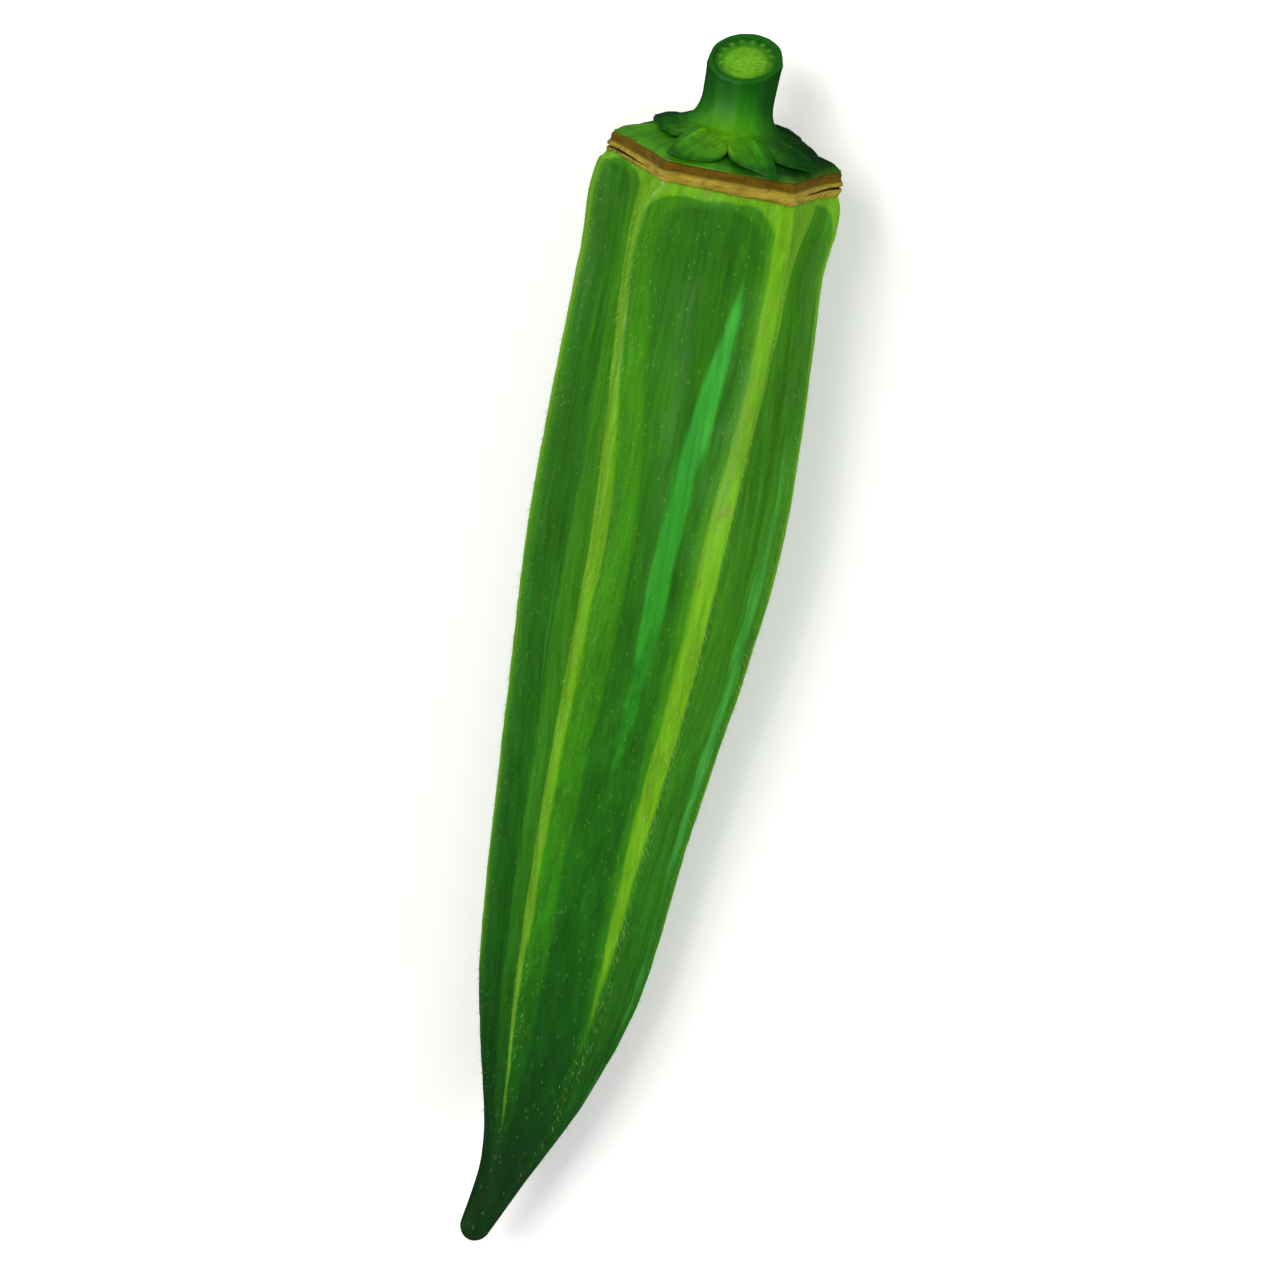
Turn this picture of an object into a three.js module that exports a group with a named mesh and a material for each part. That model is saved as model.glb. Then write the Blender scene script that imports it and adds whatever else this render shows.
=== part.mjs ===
// An okra pod as picked: a six-ridged green capsule that tapers to a hooked beak, a corky scar ring where
// the flower dropped off, the low crown above it, and a short cut stem that spreads into six sepals.
// It lies on a table on its two lowest ridges. Units are millimetres, +Z is up, and +Y runs along the pod
// towards its stem. Lengths along the pod are taken from the shoulder: below it towards the beak, above it
// towards the stem. Angles round the pod start at its top, in the middle of a face, and turn towards +X.
import * as THREE from "three";

// Driving dimensions of the capsule
const podLength = 102.5;
const ridgeCount = 6;
const beakRound = 1.2; // length of the rounded end of the beak

// The capsule along its length. below: distance from the shoulder. radius: over the ridges. side and
// height: where the middle line runs, over the table. hollow: how far the middle of a face lies inside
// the ridges, as a share of the radius. spread: degrees by which the top and bottom faces are wider.
const stations = [
  { below: 0, radius: 10.3, side: 0, height: 9.42, hollow: 0.134, spread: 4 },
  { below: 1.4, radius: 10.8, side: -0.06, height: 9.42, hollow: 0.145, spread: 5.4 },
  { below: 4, radius: 10.8, side: -0.3, height: 9.42, hollow: 0.175, spread: 8.2 },
  { below: 8, radius: 10.5, side: -0.36, height: 9.42, hollow: 0.19, spread: 10 },
  { below: 13, radius: 10.65, side: -0.22, height: 9.43, hollow: 0.175, spread: 7.5 },
  { below: 23, radius: 11.05, side: 0.05, height: 9.5, hollow: 0.165, spread: 1.6 },
  { below: 33, radius: 11.1, side: 0.15, height: 9.66, hollow: 0.162, spread: -1.4 },
  { below: 43, radius: 10.45, side: 0.1, height: 9.1, hollow: 0.158, spread: -1 },
  { below: 53, radius: 9.45, side: -0.1, height: 8.18, hollow: 0.15, spread: 0 },
  { below: 63, radius: 8.5, side: -0.25, height: 7.36, hollow: 0.14, spread: 0 },
  { below: 73, radius: 7.65, side: -0.25, height: 6.66, hollow: 0.13, spread: 0 },
  { below: 78, radius: 7, side: -0.28, height: 6.36, hollow: 0.12, spread: 0 },
  { below: 83, radius: 5.9, side: -0.45, height: 6.1, hollow: 0.105, spread: 0 },
  { below: 88, radius: 4.55, side: -0.75, height: 5.9, hollow: 0.08, spread: 0 },
  { below: 92, radius: 3.3, side: -1.25, height: 5.82, hollow: 0.05, spread: 0 },
  { below: 96, radius: 2.2, side: -2.05, height: 5.82, hollow: 0.02, spread: 0 },
  { below: podLength, radius: 1.2, side: -3.9, height: 5.9, hollow: 0, spread: 0 },
];

// Keels along the ridges and faint seams along the faces
const ridgeRound = 3; // degrees over which the ridge is rounded
const keelHeight = 0.22;
const keelWidth = 0.8;
const keelRise = 4; // length over which a keel grows out of the shoulder
const keelFade = { from: 75, to: 93 };
const seamHeight = 0.14;
const seamWidth = 0.9;
const seamFade = { from: 40, to: 66 };

// Scar ring, crown, stem and sepals
const fitGap = 0.2; // left between pieces that touch
const neckRadius = 6.7; // the capsule's neck, which the scar ring goes round
const ringHeight = 1.8;
const ringRadius = 10.5;
const ringStep = 0.22; // how far the ring's dark upper edge stands behind its lower one
const ringRagged = 0.07;
const crownRadius = 10.1;
const crownHeight = 1.5;
const crownEdge = 0.15; // upright edge of the crown, above the ring
const crownFlute = 0.12;
const stemWaist = 3.1;
const stemTop = 3.25;
const stemHeight = 6.75; // from the crown's apex to the middle of the cut
const cutRise = { acrossX: 0.15, acrossZ: -0.47 }; // slope of the slanting cut
const cutRim = 0.4; // rounding of the cut's edge
const flareReach = 1.3; // how far the foot of the stem spreads
const flareHeight = 2.8;
const sepalThick = 0.75;
const sepalEdgeThick = 0.62;
const sepalCurl = 0.1; // lift of the outermost tips

// The six sepals: angle of the tip, its distance from the axis, the angle and the depth of the notch
// before it, and how full each side is: under 1 it swells outwards and over 1 it is hollowed.
const sepals = [
  { tip: -115, reach: 7.2, notch: -144, notchAt: 4.75, before: 0.9, after: 1.1 },
  { tip: -34, reach: 10.4, notch: -50, notchAt: 6.2, before: 2.2, after: 0.5 },
  { tip: 23, reach: 10.5, notch: -4, notchAt: 6.6, before: 0.6, after: 1 },
  { tip: 54, reach: 9.1, notch: 28, notchAt: 7.6, before: 0.5, after: 0.5 },
  { tip: 130, reach: 8.6, notch: 108, notchAt: 4.9, before: 0.8, after: 0.8 },
  { tip: 186, reach: 8.3, notch: 157, notchAt: 4.8, before: 0.9, after: 0.9 },
];

// How finely the surfaces are cut
const ridgeSteps = [0, 2.4, 5, 9, 15, 22, 30, 38, 45, 51, 55, 57.6]; // degrees on from each ridge
const stretches = [
  { to: 3, steps: 4 },
  { to: 15, steps: 6 },
  { to: 78, steps: 18 },
  { to: podLength - beakRound, steps: 12 },
];
const roundSteps = 4;
const sepalSteps = [0, 0.1, 0.28, 0.5, 0.72, 0.9];

const radians = THREE.MathUtils.degToRad;
const ridgeSpacing = 360 / ridgeCount;
const halfFace = ridgeSpacing / 2;

// A smooth curve through the stations, for one of their values.
function along(key, below) {
  const last = stations.length - 1;
  let i = 0;
  while (i < last - 1 && stations[i + 1].below < below) i += 1;
  const slopeAt = (k) => {
    const before = stations[Math.max(k - 1, 0)];
    const after = stations[Math.min(k + 1, last)];
    return (after[key] - before[key]) / (after.below - before.below);
  };
  const [start, end] = [stations[i], stations[i + 1]];
  const span = end.below - start.below;
  const t = (below - start.below) / span;
  return (
    start[key] * (2 * t ** 3 - 3 * t ** 2 + 1) +
    slopeAt(i) * span * (t ** 3 - 2 * t ** 2 + t) +
    end[key] * (3 * t ** 2 - 2 * t ** 3) +
    slopeAt(i + 1) * span * (t ** 3 - t ** 2)
  );
}

const fade = (value, { from, to }) => 1 - THREE.MathUtils.smoothstep(value, from, to);
const bump = (distance, width) => Math.exp(-((distance / width) ** 2));

// The middle line of the pod; above the shoulder it runs straight on.
function middle(below) {
  if (below < 0) return middle(0).add(new THREE.Vector3(0, -below, 0));
  return new THREE.Vector3(along("side", below), -below, along("height", below));
}

// A point in the cross-section at that length, square to the middle line.
function place(below, radius, angle) {
  const step = 0.01;
  const towardsStem =
    below <= 0
      ? new THREE.Vector3(0, 1, 0)
      : middle(below - step).sub(middle(Math.min(below + step, podLength))).normalize();
  const right = new THREE.Vector3().crossVectors(towardsStem, new THREE.Vector3(0, 0, 1)).normalize();
  const up = new THREE.Vector3().crossVectors(right, towardsStem);
  return middle(below)
    .addScaledVector(right, radius * Math.sin(radians(angle)))
    .addScaledVector(up, radius * Math.cos(radians(angle)));
}

// The same on a ridged piece, whose top and bottom faces are spread wider near the shoulder.
function placeRidged(below, radius, angle) {
  const spread = along("spread", Math.max(below, 0)) * Math.sin(radians(2 * angle));
  return place(below, radius, angle + spread);
}

// Degrees from the nearest ridge; the ridges lie half a face either side of the top.
function fromRidge(angle) {
  const turned = THREE.MathUtils.euclideanModulo(angle - halfFace, ridgeSpacing);
  return Math.min(turned, ridgeSpacing - turned);
}

// How far a six-sided section with rounded ridges lies inside its ridges: 0 on a ridge, 1 in mid-face.
function faceDip(angle) {
  const rounded = Math.hypot(fromRidge(angle), ridgeRound) - ridgeRound;
  const share = rounded / (Math.hypot(halfFace, ridgeRound) - ridgeRound);
  return 1 - (1 - share) ** 3;
}

// Radius of the capsule's skin.
function podRadius(below, angle) {
  const radius = along("radius", below);
  const offRidge = radians(fromRidge(angle)) * radius;
  const offSeam = radians(halfFace - fromRidge(angle)) * radius;
  const grown = THREE.MathUtils.smoothstep(below, 0, keelRise);
  const keel = keelHeight * grown * fade(below, keelFade) * bump(offRidge, keelWidth);
  const seam = seamHeight * grown * fade(below, seamFade) * bump(offSeam, seamWidth);
  const skin = radius * (1 - along("hollow", below) * faceDip(angle)) + keel + seam;
  const rounding = Math.max(0, (below - podLength + beakRound) / beakRound);
  return skin * Math.sqrt(Math.max(0, 1 - rounding ** 2));
}

// Six-sided section that the ring and the crown share.
const hexagon = (radius, angle) => radius * (1 - stations[0].hollow * faceDip(angle));

function geometryOf(points, index) {
  const geometry = new THREE.BufferGeometry().setFromPoints(points);
  geometry.setIndex(index);
  geometry.computeVertexNormals();
  return geometry;
}

// Closes a stack of rings of points, with a pole at each end, into one solid.
function skin(firstPole, rings, lastPole) {
  const count = rings[0].length;
  const points = [firstPole, ...rings.flat(), lastPole];
  const index = [];
  const at = (ring, i) => 1 + ring * count + (i % count);
  for (let i = 0; i < count; i += 1) {
    index.push(0, at(0, i), at(0, i + 1));
    for (let ring = 0; ring < rings.length - 1; ring += 1) {
      index.push(at(ring, i), at(ring + 1, i + 1), at(ring, i + 1));
      index.push(at(ring, i), at(ring + 1, i), at(ring + 1, i + 1));
    }
    index.push(at(rings.length - 1, i + 1), at(rings.length - 1, i), points.length - 1);
  }
  return geometryOf(points, index);
}

// Closes a stack of rings that comes back to its first ring, as round a hole.
function band(rings) {
  const count = rings[0].length;
  const index = [];
  const at = (ring, i) => (ring % rings.length) * count + (i % count);
  for (let i = 0; i < count; i += 1) {
    for (let ring = 0; ring < rings.length; ring += 1) {
      index.push(at(ring, i), at(ring + 1, i + 1), at(ring, i + 1));
      index.push(at(ring, i), at(ring + 1, i), at(ring + 1, i + 1));
    }
  }
  return geometryOf(rings.flat(), index);
}

// Angles round a ridged piece: the same steps on from every ridge.
const ridgedAngles = [];
for (let ridge = 0; ridge < ridgeCount; ridge += 1) {
  for (const step of ridgeSteps) ridgedAngles.push(halfFace + ridge * ridgeSpacing + step);
}

// The capsule: its neck inside the scar ring, the shoulder, the ridged body and the rounded beak. Where
// it would reach under the table it is pressed flat, which leaves a narrow flat along both low ridges.
function podGeometry() {
  const onTable = (point) => point.setZ(Math.max(point.z, 0));
  const lengths = [];
  let from = 0;
  for (const { to, steps } of stretches) {
    for (let i = 0; i < steps; i += 1) lengths.push(from + ((to - from) * i) / steps);
    from = to;
  }
  for (let i = 0; i < roundSteps; i += 1) {
    lengths.push(podLength - beakRound * (1 - Math.sin((Math.PI / 2) * (i / roundSteps))));
  }
  const neckTop = -ringHeight;
  const rings = [
    ridgedAngles.map((angle) => placeRidged(neckTop, neckRadius, angle)),
    ridgedAngles.map((angle) => placeRidged(0, neckRadius, angle)),
    ...lengths.map((below) =>
      ridgedAngles.map((angle) => onTable(placeRidged(below, podRadius(below, angle), angle))),
    ),
  ];
  return skin(middle(neckTop), rings, middle(podLength));
}

// The scar ring: a ragged corky band round the neck, with its upper edge set back.
function scarRingGeometry() {
  const bore = neckRadius + fitGap;
  const ragged = (angle) =>
    ringRagged * (Math.sin(radians(angle * 11)) + Math.sin(radians(angle * 17 + 40)));
  const outline = [
    { above: ringHeight, inset: ringStep + 0.12 },
    { above: 0.9 * ringHeight, inset: ringStep },
    { above: 0.65 * ringHeight, inset: ringStep },
    { above: 0.55 * ringHeight, inset: 0.03 },
    { above: 0.35 * ringHeight, inset: 0 },
    { above: fitGap, inset: 0.15 },
  ];
  return band([
    ridgedAngles.map((angle) => placeRidged(-fitGap, bore, angle)),
    ridgedAngles.map((angle) => placeRidged(-ringHeight, bore, angle)),
    ...outline.map(({ above, inset }) =>
      ridgedAngles.map((angle) =>
        placeRidged(-above, hexagon(ringRadius, angle) - inset + ragged(angle), angle),
      ),
    ),
  ]);
}

// Height of the crown's surface above the shoulder: a low dome, lightly fluted in line with the ridges.
function crownTop(radius, angle) {
  const share = radius / hexagon(crownRadius, angle);
  const flute = crownFlute * Math.cos(radians(ridgeCount * (angle - halfFace)));
  return (
    ringHeight +
    fitGap +
    crownEdge +
    crownHeight * (1 - share ** 2) +
    flute * Math.sin(Math.PI * share)
  );
}

// The crown: the swollen end of the stem, which closes the pod above the scar ring.
function crownGeometry() {
  const shares = [0.12, 0.28, 0.44, 0.6, 0.74, 0.86, 0.95, 1];
  const under = ringHeight + fitGap;
  const rings = [
    ...shares.map((share) =>
      ridgedAngles.map((angle) => {
        const radius = share * hexagon(crownRadius, angle);
        return placeRidged(-crownTop(radius, angle), radius, angle);
      }),
    ),
    ridgedAngles.map((angle) => placeRidged(-under, hexagon(crownRadius, angle), angle)),
  ];
  return skin(middle(-crownTop(0, 0)), rings, middle(-under));
}

// Round the sepals: each angle with the distance of the sepals' edge there.
function sepalOutline() {
  const outline = [];
  sepals.forEach((sepal, i) => {
    const next = sepals[(i + 1) % sepals.length];
    const nextNotch = next.notch + (next.notch < sepal.tip ? 360 : 0);
    for (const share of sepalSteps) {
      outline.push({
        angle: THREE.MathUtils.lerp(sepal.notch, sepal.tip, share),
        edge: THREE.MathUtils.lerp(sepal.notchAt, sepal.reach, share ** sepal.before),
      });
    }
    for (const share of sepalSteps) {
      outline.push({
        angle: THREE.MathUtils.lerp(sepal.tip, nextNotch, share),
        edge: THREE.MathUtils.lerp(next.notchAt, sepal.reach, (1 - share) ** sepal.after),
      });
    }
  });
  return outline;
}

// The stem with its sepals: a slanting cut, a waisted stalk whose foot spreads, and six pointed lobes
// that lie on the crown with their tips a little raised.
function stemGeometry() {
  const apex = crownTop(0, 0);
  const foot = stemWaist + flareReach;
  const cutAt = (radius, angle) =>
    apex +
    stemHeight +
    radius * (cutRise.acrossX * Math.sin(radians(angle)) + cutRise.acrossZ * Math.cos(radians(angle)));
  const outline = sepalOutline();
  const ring = (shape) =>
    outline.map(({ angle, edge }) => {
      const { radius, above } = shape(angle, edge);
      return place(-above, radius, angle);
    });
  const crownAt = (radius, angle) => {
    const lift = sepalCurl * (radius / crownRadius) ** 4;
    const spread = stations[0].spread * Math.sin(radians(2 * angle));
    return crownTop(radius, angle - spread) + fitGap + lift;
  };
  const lobeTop = (radius, angle) => {
    const outwards = (radius - foot) / (crownRadius - foot);
    return crownAt(radius, angle) + THREE.MathUtils.lerp(sepalThick, sepalEdgeThick, outwards);
  };
  const flareTop = lobeTop(foot, 0) + flareHeight;
  const onCut = (share) => (angle) => ({
    radius: share * stemTop,
    above: cutAt(share * stemTop, angle),
  });
  const belowCut = (drop, radius) => (angle) => ({ radius, above: cutAt(stemTop, angle) - drop });
  const stalk = (share) => (angle) => ({
    radius: THREE.MathUtils.lerp(stemTop, stemWaist, Math.sqrt(share)),
    above: THREE.MathUtils.lerp(cutAt(stemTop, angle) - cutRim, flareTop, share),
  });
  const flare = (share) => (angle) => {
    const turn = (share * Math.PI) / 2;
    const root = lobeTop(foot, angle);
    return {
      radius: stemWaist + flareReach * (1 - Math.cos(turn)),
      above: root + (flareTop - root) * (1 - Math.sin(turn)),
    };
  };
  const lobe = (share) => (angle, edge) => {
    const radius = THREE.MathUtils.lerp(foot, edge, share);
    return { radius, above: lobeTop(radius, angle) };
  };
  const under = (share) => (angle, edge) => {
    const radius = share * edge;
    return { radius, above: crownAt(radius, angle) };
  };
  const rings = [
    ...[0.3, 0.62, 0.86].map(onCut).map(ring),
    ring(belowCut(cutRim * 0.3, stemTop - cutRim * 0.3)),
    ...[0, 0.35, 0.7].map(stalk).map(ring),
    ...[0, 0.25, 0.5, 0.75].map(flare).map(ring),
    ...[0, 0.36, 0.72, 1].map(lobe).map(ring),
    ...[1, 0.72, 0.4].map(under).map(ring),
  ];
  return skin(middle(-cutAt(0, 0)), rings, middle(-apex - fitGap));
}

const materials = {
  pod: new THREE.MeshStandardMaterial({ color: 0x2c7500, roughness: 0.45, metalness: 0 }),
  scar: new THREE.MeshStandardMaterial({ color: 0x8a7327, roughness: 0.85, metalness: 0 }),
  crown: new THREE.MeshStandardMaterial({ color: 0x2a7200, roughness: 0.5, metalness: 0 }),
  stem: new THREE.MeshStandardMaterial({ color: 0x226a00, roughness: 0.5, metalness: 0 }),
};

function piece(name, geometry, material) {
  const mesh = new THREE.Mesh(geometry, material);
  mesh.name = name;
  return mesh;
}

const okra = new THREE.Group();
okra.add(piece("pod", podGeometry(), materials.pod));
okra.add(piece("scar_ring", scarRingGeometry(), materials.scar));
okra.add(piece("crown", crownGeometry(), materials.crown));
okra.add(piece("stem_with_sepals", stemGeometry(), materials.stem));

// The origin is on the table, under the middle of the whole piece.
const bounds = new THREE.Box3().setFromObject(okra);
const centre = bounds.getCenter(new THREE.Vector3());
okra.position.set(-centre.x, -centre.y, 0);

export default okra;
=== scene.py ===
import bpy
import numpy as np
from mathutils import Matrix, Vector, noise


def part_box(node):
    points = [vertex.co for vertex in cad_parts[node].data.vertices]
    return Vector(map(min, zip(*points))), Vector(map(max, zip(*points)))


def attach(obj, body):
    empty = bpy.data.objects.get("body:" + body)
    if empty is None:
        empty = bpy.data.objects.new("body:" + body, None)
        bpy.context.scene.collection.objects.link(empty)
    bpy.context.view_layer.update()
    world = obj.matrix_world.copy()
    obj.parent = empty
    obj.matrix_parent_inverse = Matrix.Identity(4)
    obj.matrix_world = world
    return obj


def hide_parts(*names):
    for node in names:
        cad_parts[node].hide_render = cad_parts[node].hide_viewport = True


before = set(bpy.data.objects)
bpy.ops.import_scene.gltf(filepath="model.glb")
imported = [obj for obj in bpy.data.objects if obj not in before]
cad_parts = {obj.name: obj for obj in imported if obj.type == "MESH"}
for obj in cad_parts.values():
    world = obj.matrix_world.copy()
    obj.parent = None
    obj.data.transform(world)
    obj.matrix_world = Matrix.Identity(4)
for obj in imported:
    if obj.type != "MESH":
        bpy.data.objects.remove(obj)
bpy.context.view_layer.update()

# The camera looks down on the lying pod, from a little towards its stem and a little towards its left,
# with the stem at the top of the picture and leaning to the right.
camera_tilt = np.radians(15)
camera_side = np.radians(4.0)
picture_lean = np.radians(11.1)
lens_mm = 260
sensor_mm = 36
picture_width = 0.1138  # metres across the picture at the pod
look_at = np.array([0.00061, 0.00206, 0.00933])

towards_camera = np.array(
    [
        -np.sin(camera_side) * np.cos(camera_tilt),
        np.sin(camera_tilt),
        np.cos(camera_side) * np.cos(camera_tilt),
    ]
)
along_pod = np.array([0, 1, 0]) - towards_camera * towards_camera[1]
along_pod /= np.linalg.norm(along_pod)
across_pod = np.cross(along_pod, towards_camera)
picture_up = np.cos(picture_lean) * along_pod - np.sin(picture_lean) * across_pod
picture_right = np.cos(picture_lean) * across_pod + np.sin(picture_lean) * along_pod

camera = bpy.data.objects.new("camera", bpy.data.cameras.new("camera"))
bpy.context.scene.collection.objects.link(camera)
camera.data.lens = lens_mm
camera.data.sensor_width = sensor_mm
camera.data.clip_start = 0.01
camera.data.clip_end = 10
camera_distance = picture_width * lens_mm / sensor_mm
camera_turn = Matrix([picture_right, picture_up, towards_camera]).transposed()
camera.matrix_world = Matrix.LocRotScale(
    Vector(look_at + towards_camera * camera_distance), camera_turn.to_quaternion(), None
)
bpy.context.scene.camera = camera

# The table is a wide pale matt board, lit by one large soft window on the left of the pod's stem, weaker
# ones on the right and beyond the stem, and a pale room all round that is dark below the table's level.
table_size = 4
table_drop = 0.00002  # keeps the board just clear of the flats that rest on it
table_white = (0.93, 0.93, 0.92, 1)
table_roughness = 0.7
lit_spot = Vector((0, 0, 0.01))
room_white = (0.95, 0.97, 1, 1)
room_levels = {"From Min": -0.35, "From Max": -0.05, "To Min": 0.06, "To Max": 0.4}

bpy.ops.mesh.primitive_plane_add(size=table_size, location=(0, 0, -table_drop))
table = bpy.context.object
table.name = "table"
table_paint = bpy.data.materials.new("table_paint")
table_paint.use_nodes = True
paint = table_paint.node_tree.nodes["Principled BSDF"]
paint.inputs["Base Color"].default_value = table_white
paint.inputs["Roughness"].default_value = table_roughness
table.data.materials.append(table_paint)
table.visible_glossy = False


def soft_light(name, spot, size, watts, colour, glints):
    light = bpy.data.objects.new(name, bpy.data.lights.new(name, "AREA"))
    light.data.size = size
    light.data.energy = watts
    light.data.color = colour
    light.location = spot
    light.visible_glossy = glints
    light.rotation_euler = (lit_spot - Vector(spot)).to_track_quat("-Z", "Y").to_euler()
    bpy.context.scene.collection.objects.link(light)


soft_light("window", (-0.38, 0.22, 0.5), size=0.42, watts=5.0, colour=(1, 0.985, 0.95), glints=True)
soft_light("far_window", (0.5, -0.05, 0.3), size=0.4, watts=2.9, colour=(1, 1, 0.96), glints=False)
soft_light("stem_window", (0.1, 0.6, 0.25), size=0.3, watts=0.6, colour=(1, 1, 0.97), glints=False)

room = bpy.data.worlds.new("room")
bpy.context.scene.world = room
room.use_nodes = True
background = room.node_tree.nodes["Background"]
background.inputs["Color"].default_value = room_white
room_directions = room.node_tree.nodes.new("ShaderNodeTexCoord").outputs["Generated"]
room_axes = room.node_tree.nodes.new("ShaderNodeSeparateXYZ")
room.node_tree.links.new(room_directions, room_axes.inputs[0])
room_level = room.node_tree.nodes.new("ShaderNodeMapRange")
for socket, value in room_levels.items():
    room_level.inputs[socket].default_value = value
room.node_tree.links.new(room_axes.outputs["Z"], room_level.inputs["Value"])
room.node_tree.links.new(room_level.outputs[0], background.inputs["Strength"])
bpy.context.scene.view_settings.view_transform = "Standard"

# The pod is one fleshy fibrous capsule that grew in a single piece: six ridges with a pale keel on each,
# hollow faces between them with a faint seam, a rounded shoulder and a beak that hooks to one side.
# Sizes are millimetres. Angles start at the top of the lying pod and turn to its right.
MM = 0.001
ridge_count = 6
face_turn = 360 / ridge_count
half_face = face_turn / 2
ridge_round = 3.0  # degrees
neck_height = 1.8
neck_radius = 6.7
shoulder_radius = 9.4  # of the flesh that lies under the scar ring
beak_round = 1.2
keel_height = 0.24
keel_width = 0.75
keel_fade = (75, 93)
seam_height = 0.15
seam_width = 0.8
seam_fade = (40, 66)


def columns(names, rows):
    """The columns of a table of numbers, as arrays under their names."""
    return dict(zip(names.split(), np.array(rows, float).T))


# Down from the shoulder: the radius on the ridges, how far the middle line runs to the side and above the
# table, the hollow of the faces as a share of the radius, and by how many degrees the ridges spread.
pod_stations = columns(
    "below radius side height hollow spread",
    [
        (0, 10.3, 0, 9.42, 0.134, 4),
        (1.4, 10.8, -0.06, 9.42, 0.145, 5.4),
        (4, 10.8, -0.3, 9.42, 0.175, 8.2),
        (8, 10.5, -0.36, 9.42, 0.19, 10),
        (13, 10.65, -0.22, 9.43, 0.175, 7.5),
        (23, 11.05, 0.05, 9.5, 0.165, 1.6),
        (33, 11.1, 0.15, 9.66, 0.162, -1.4),
        (43, 10.45, 0.1, 9.1, 0.158, -1),
        (53, 9.45, -0.1, 8.18, 0.15, 0),
        (63, 8.5, -0.25, 7.36, 0.14, 0),
        (73, 7.65, -0.25, 6.66, 0.13, 0),
        (78, 7, -0.28, 6.36, 0.12, 0),
        (83, 5.9, -0.45, 6.1, 0.105, 0),
        (88, 4.55, -0.75, 5.9, 0.08, 0),
        (92, 3.3, -1.25, 5.82, 0.05, 0),
        (96, 2.2, -2.05, 5.82, 0.02, 0),
        (102.5, 1.2, -3.9, 5.9, 0, 0),
    ],
)
pod_length = float(pod_stations["below"][-1])
crown_low, crown_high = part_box("crown")
pod_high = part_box("pod")[1]
shoulder = np.array([(crown_low.x + crown_high.x) / 2 / MM, pod_high.y / MM - neck_height, 0])


def along(name, below):
    """A smooth curve through one column of the pod's stations."""
    x = pod_stations["below"]
    y = pod_stations[name]
    rise = np.diff(y) / np.diff(x)
    slope = np.concatenate([rise[:1], (y[2:] - y[:-2]) / (x[2:] - x[:-2]), rise[-1:]])
    at = np.clip(below, 0, pod_length)
    i = np.clip(np.searchsorted(x, at, side="right") - 1, 0, len(x) - 2)
    span = x[i + 1] - x[i]
    t = (at - x[i]) / span
    return (
        y[i] * (2 * t**3 - 3 * t**2 + 1)
        + slope[i] * span * (t**3 - 2 * t**2 + t)
        + y[i + 1] * (3 * t**2 - 2 * t**3)
        + slope[i + 1] * span * (t**3 - t**2)
    )


def smooth_step(value, start, end):
    t = np.clip((value - start) / (end - start), 0, 1)
    return t * t * (3 - 2 * t)


def middle(below):
    """The middle line of the pod; above the shoulder it runs straight on."""
    return np.stack([along("side", below), -below, along("height", below)], -1)


def place(below, radius, angle):
    """A point in the cross-section at that length, square to the middle line."""
    below, radius, angle = np.broadcast_arrays(below, radius, np.radians(angle))
    below = below.astype(float)
    step = 0.01
    ahead = middle(below - step) - middle(np.minimum(below + step, pod_length))
    ahead /= np.linalg.norm(ahead, axis=-1, keepdims=True)
    right = np.stack([ahead[..., 1], -ahead[..., 0], np.zeros(below.shape)], -1)
    right /= np.linalg.norm(right, axis=-1, keepdims=True)
    up = np.cross(right, ahead)
    outwards = right * np.sin(angle)[..., None] + up * np.cos(angle)[..., None]
    return shoulder + middle(below) + outwards * radius[..., None]


def place_ridged(below, radius, angle):
    """The same, with the angle turned as the ridges are spread at that length."""
    spread = along("spread", below) * np.sin(np.radians(2 * angle))
    return place(below, radius, angle + spread)


def from_ridge(angle):
    turned = (angle - half_face) % face_turn
    return np.minimum(turned, face_turn - turned)


def face_dip(angle):
    """0 on a ridge and 1 in the middle of a face."""
    rounded = np.hypot(from_ridge(angle), ridge_round) - ridge_round
    share = rounded / (np.hypot(half_face, ridge_round) - ridge_round)
    return 1 - (1 - share) ** 3


def roughen(points, scale, seed):
    """Smooth noise between about -1 and 1 at each point; scale is in noise cells per millimetre."""
    flat = points.reshape(-1, 3) * np.array(scale) + seed
    return np.array([noise.noise(p) for p in flat.tolist()]).reshape(points.shape[:-1])


def pod_radius(below, angle):
    radius = along("radius", below)
    off_ridge = np.radians(from_ridge(angle)) * radius
    off_seam = np.radians(half_face - from_ridge(angle)) * radius
    grown = smooth_step(below, 0, 4)
    keel = keel_height * grown * (1 - smooth_step(below, *keel_fade))
    keel = keel * np.exp(-((off_ridge / keel_width) ** 2))
    seam = seam_height * grown * (1 - smooth_step(below, *seam_fade))
    seam = seam * np.exp(-((off_seam / seam_width) ** 2))
    skin = radius * (1 - along("hollow", below) * face_dip(angle)) + keel + seam
    rounding = np.clip((below - pod_length + beak_round) / beak_round, 0, 1)
    return skin * np.sqrt(1 - rounding**2)


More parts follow.
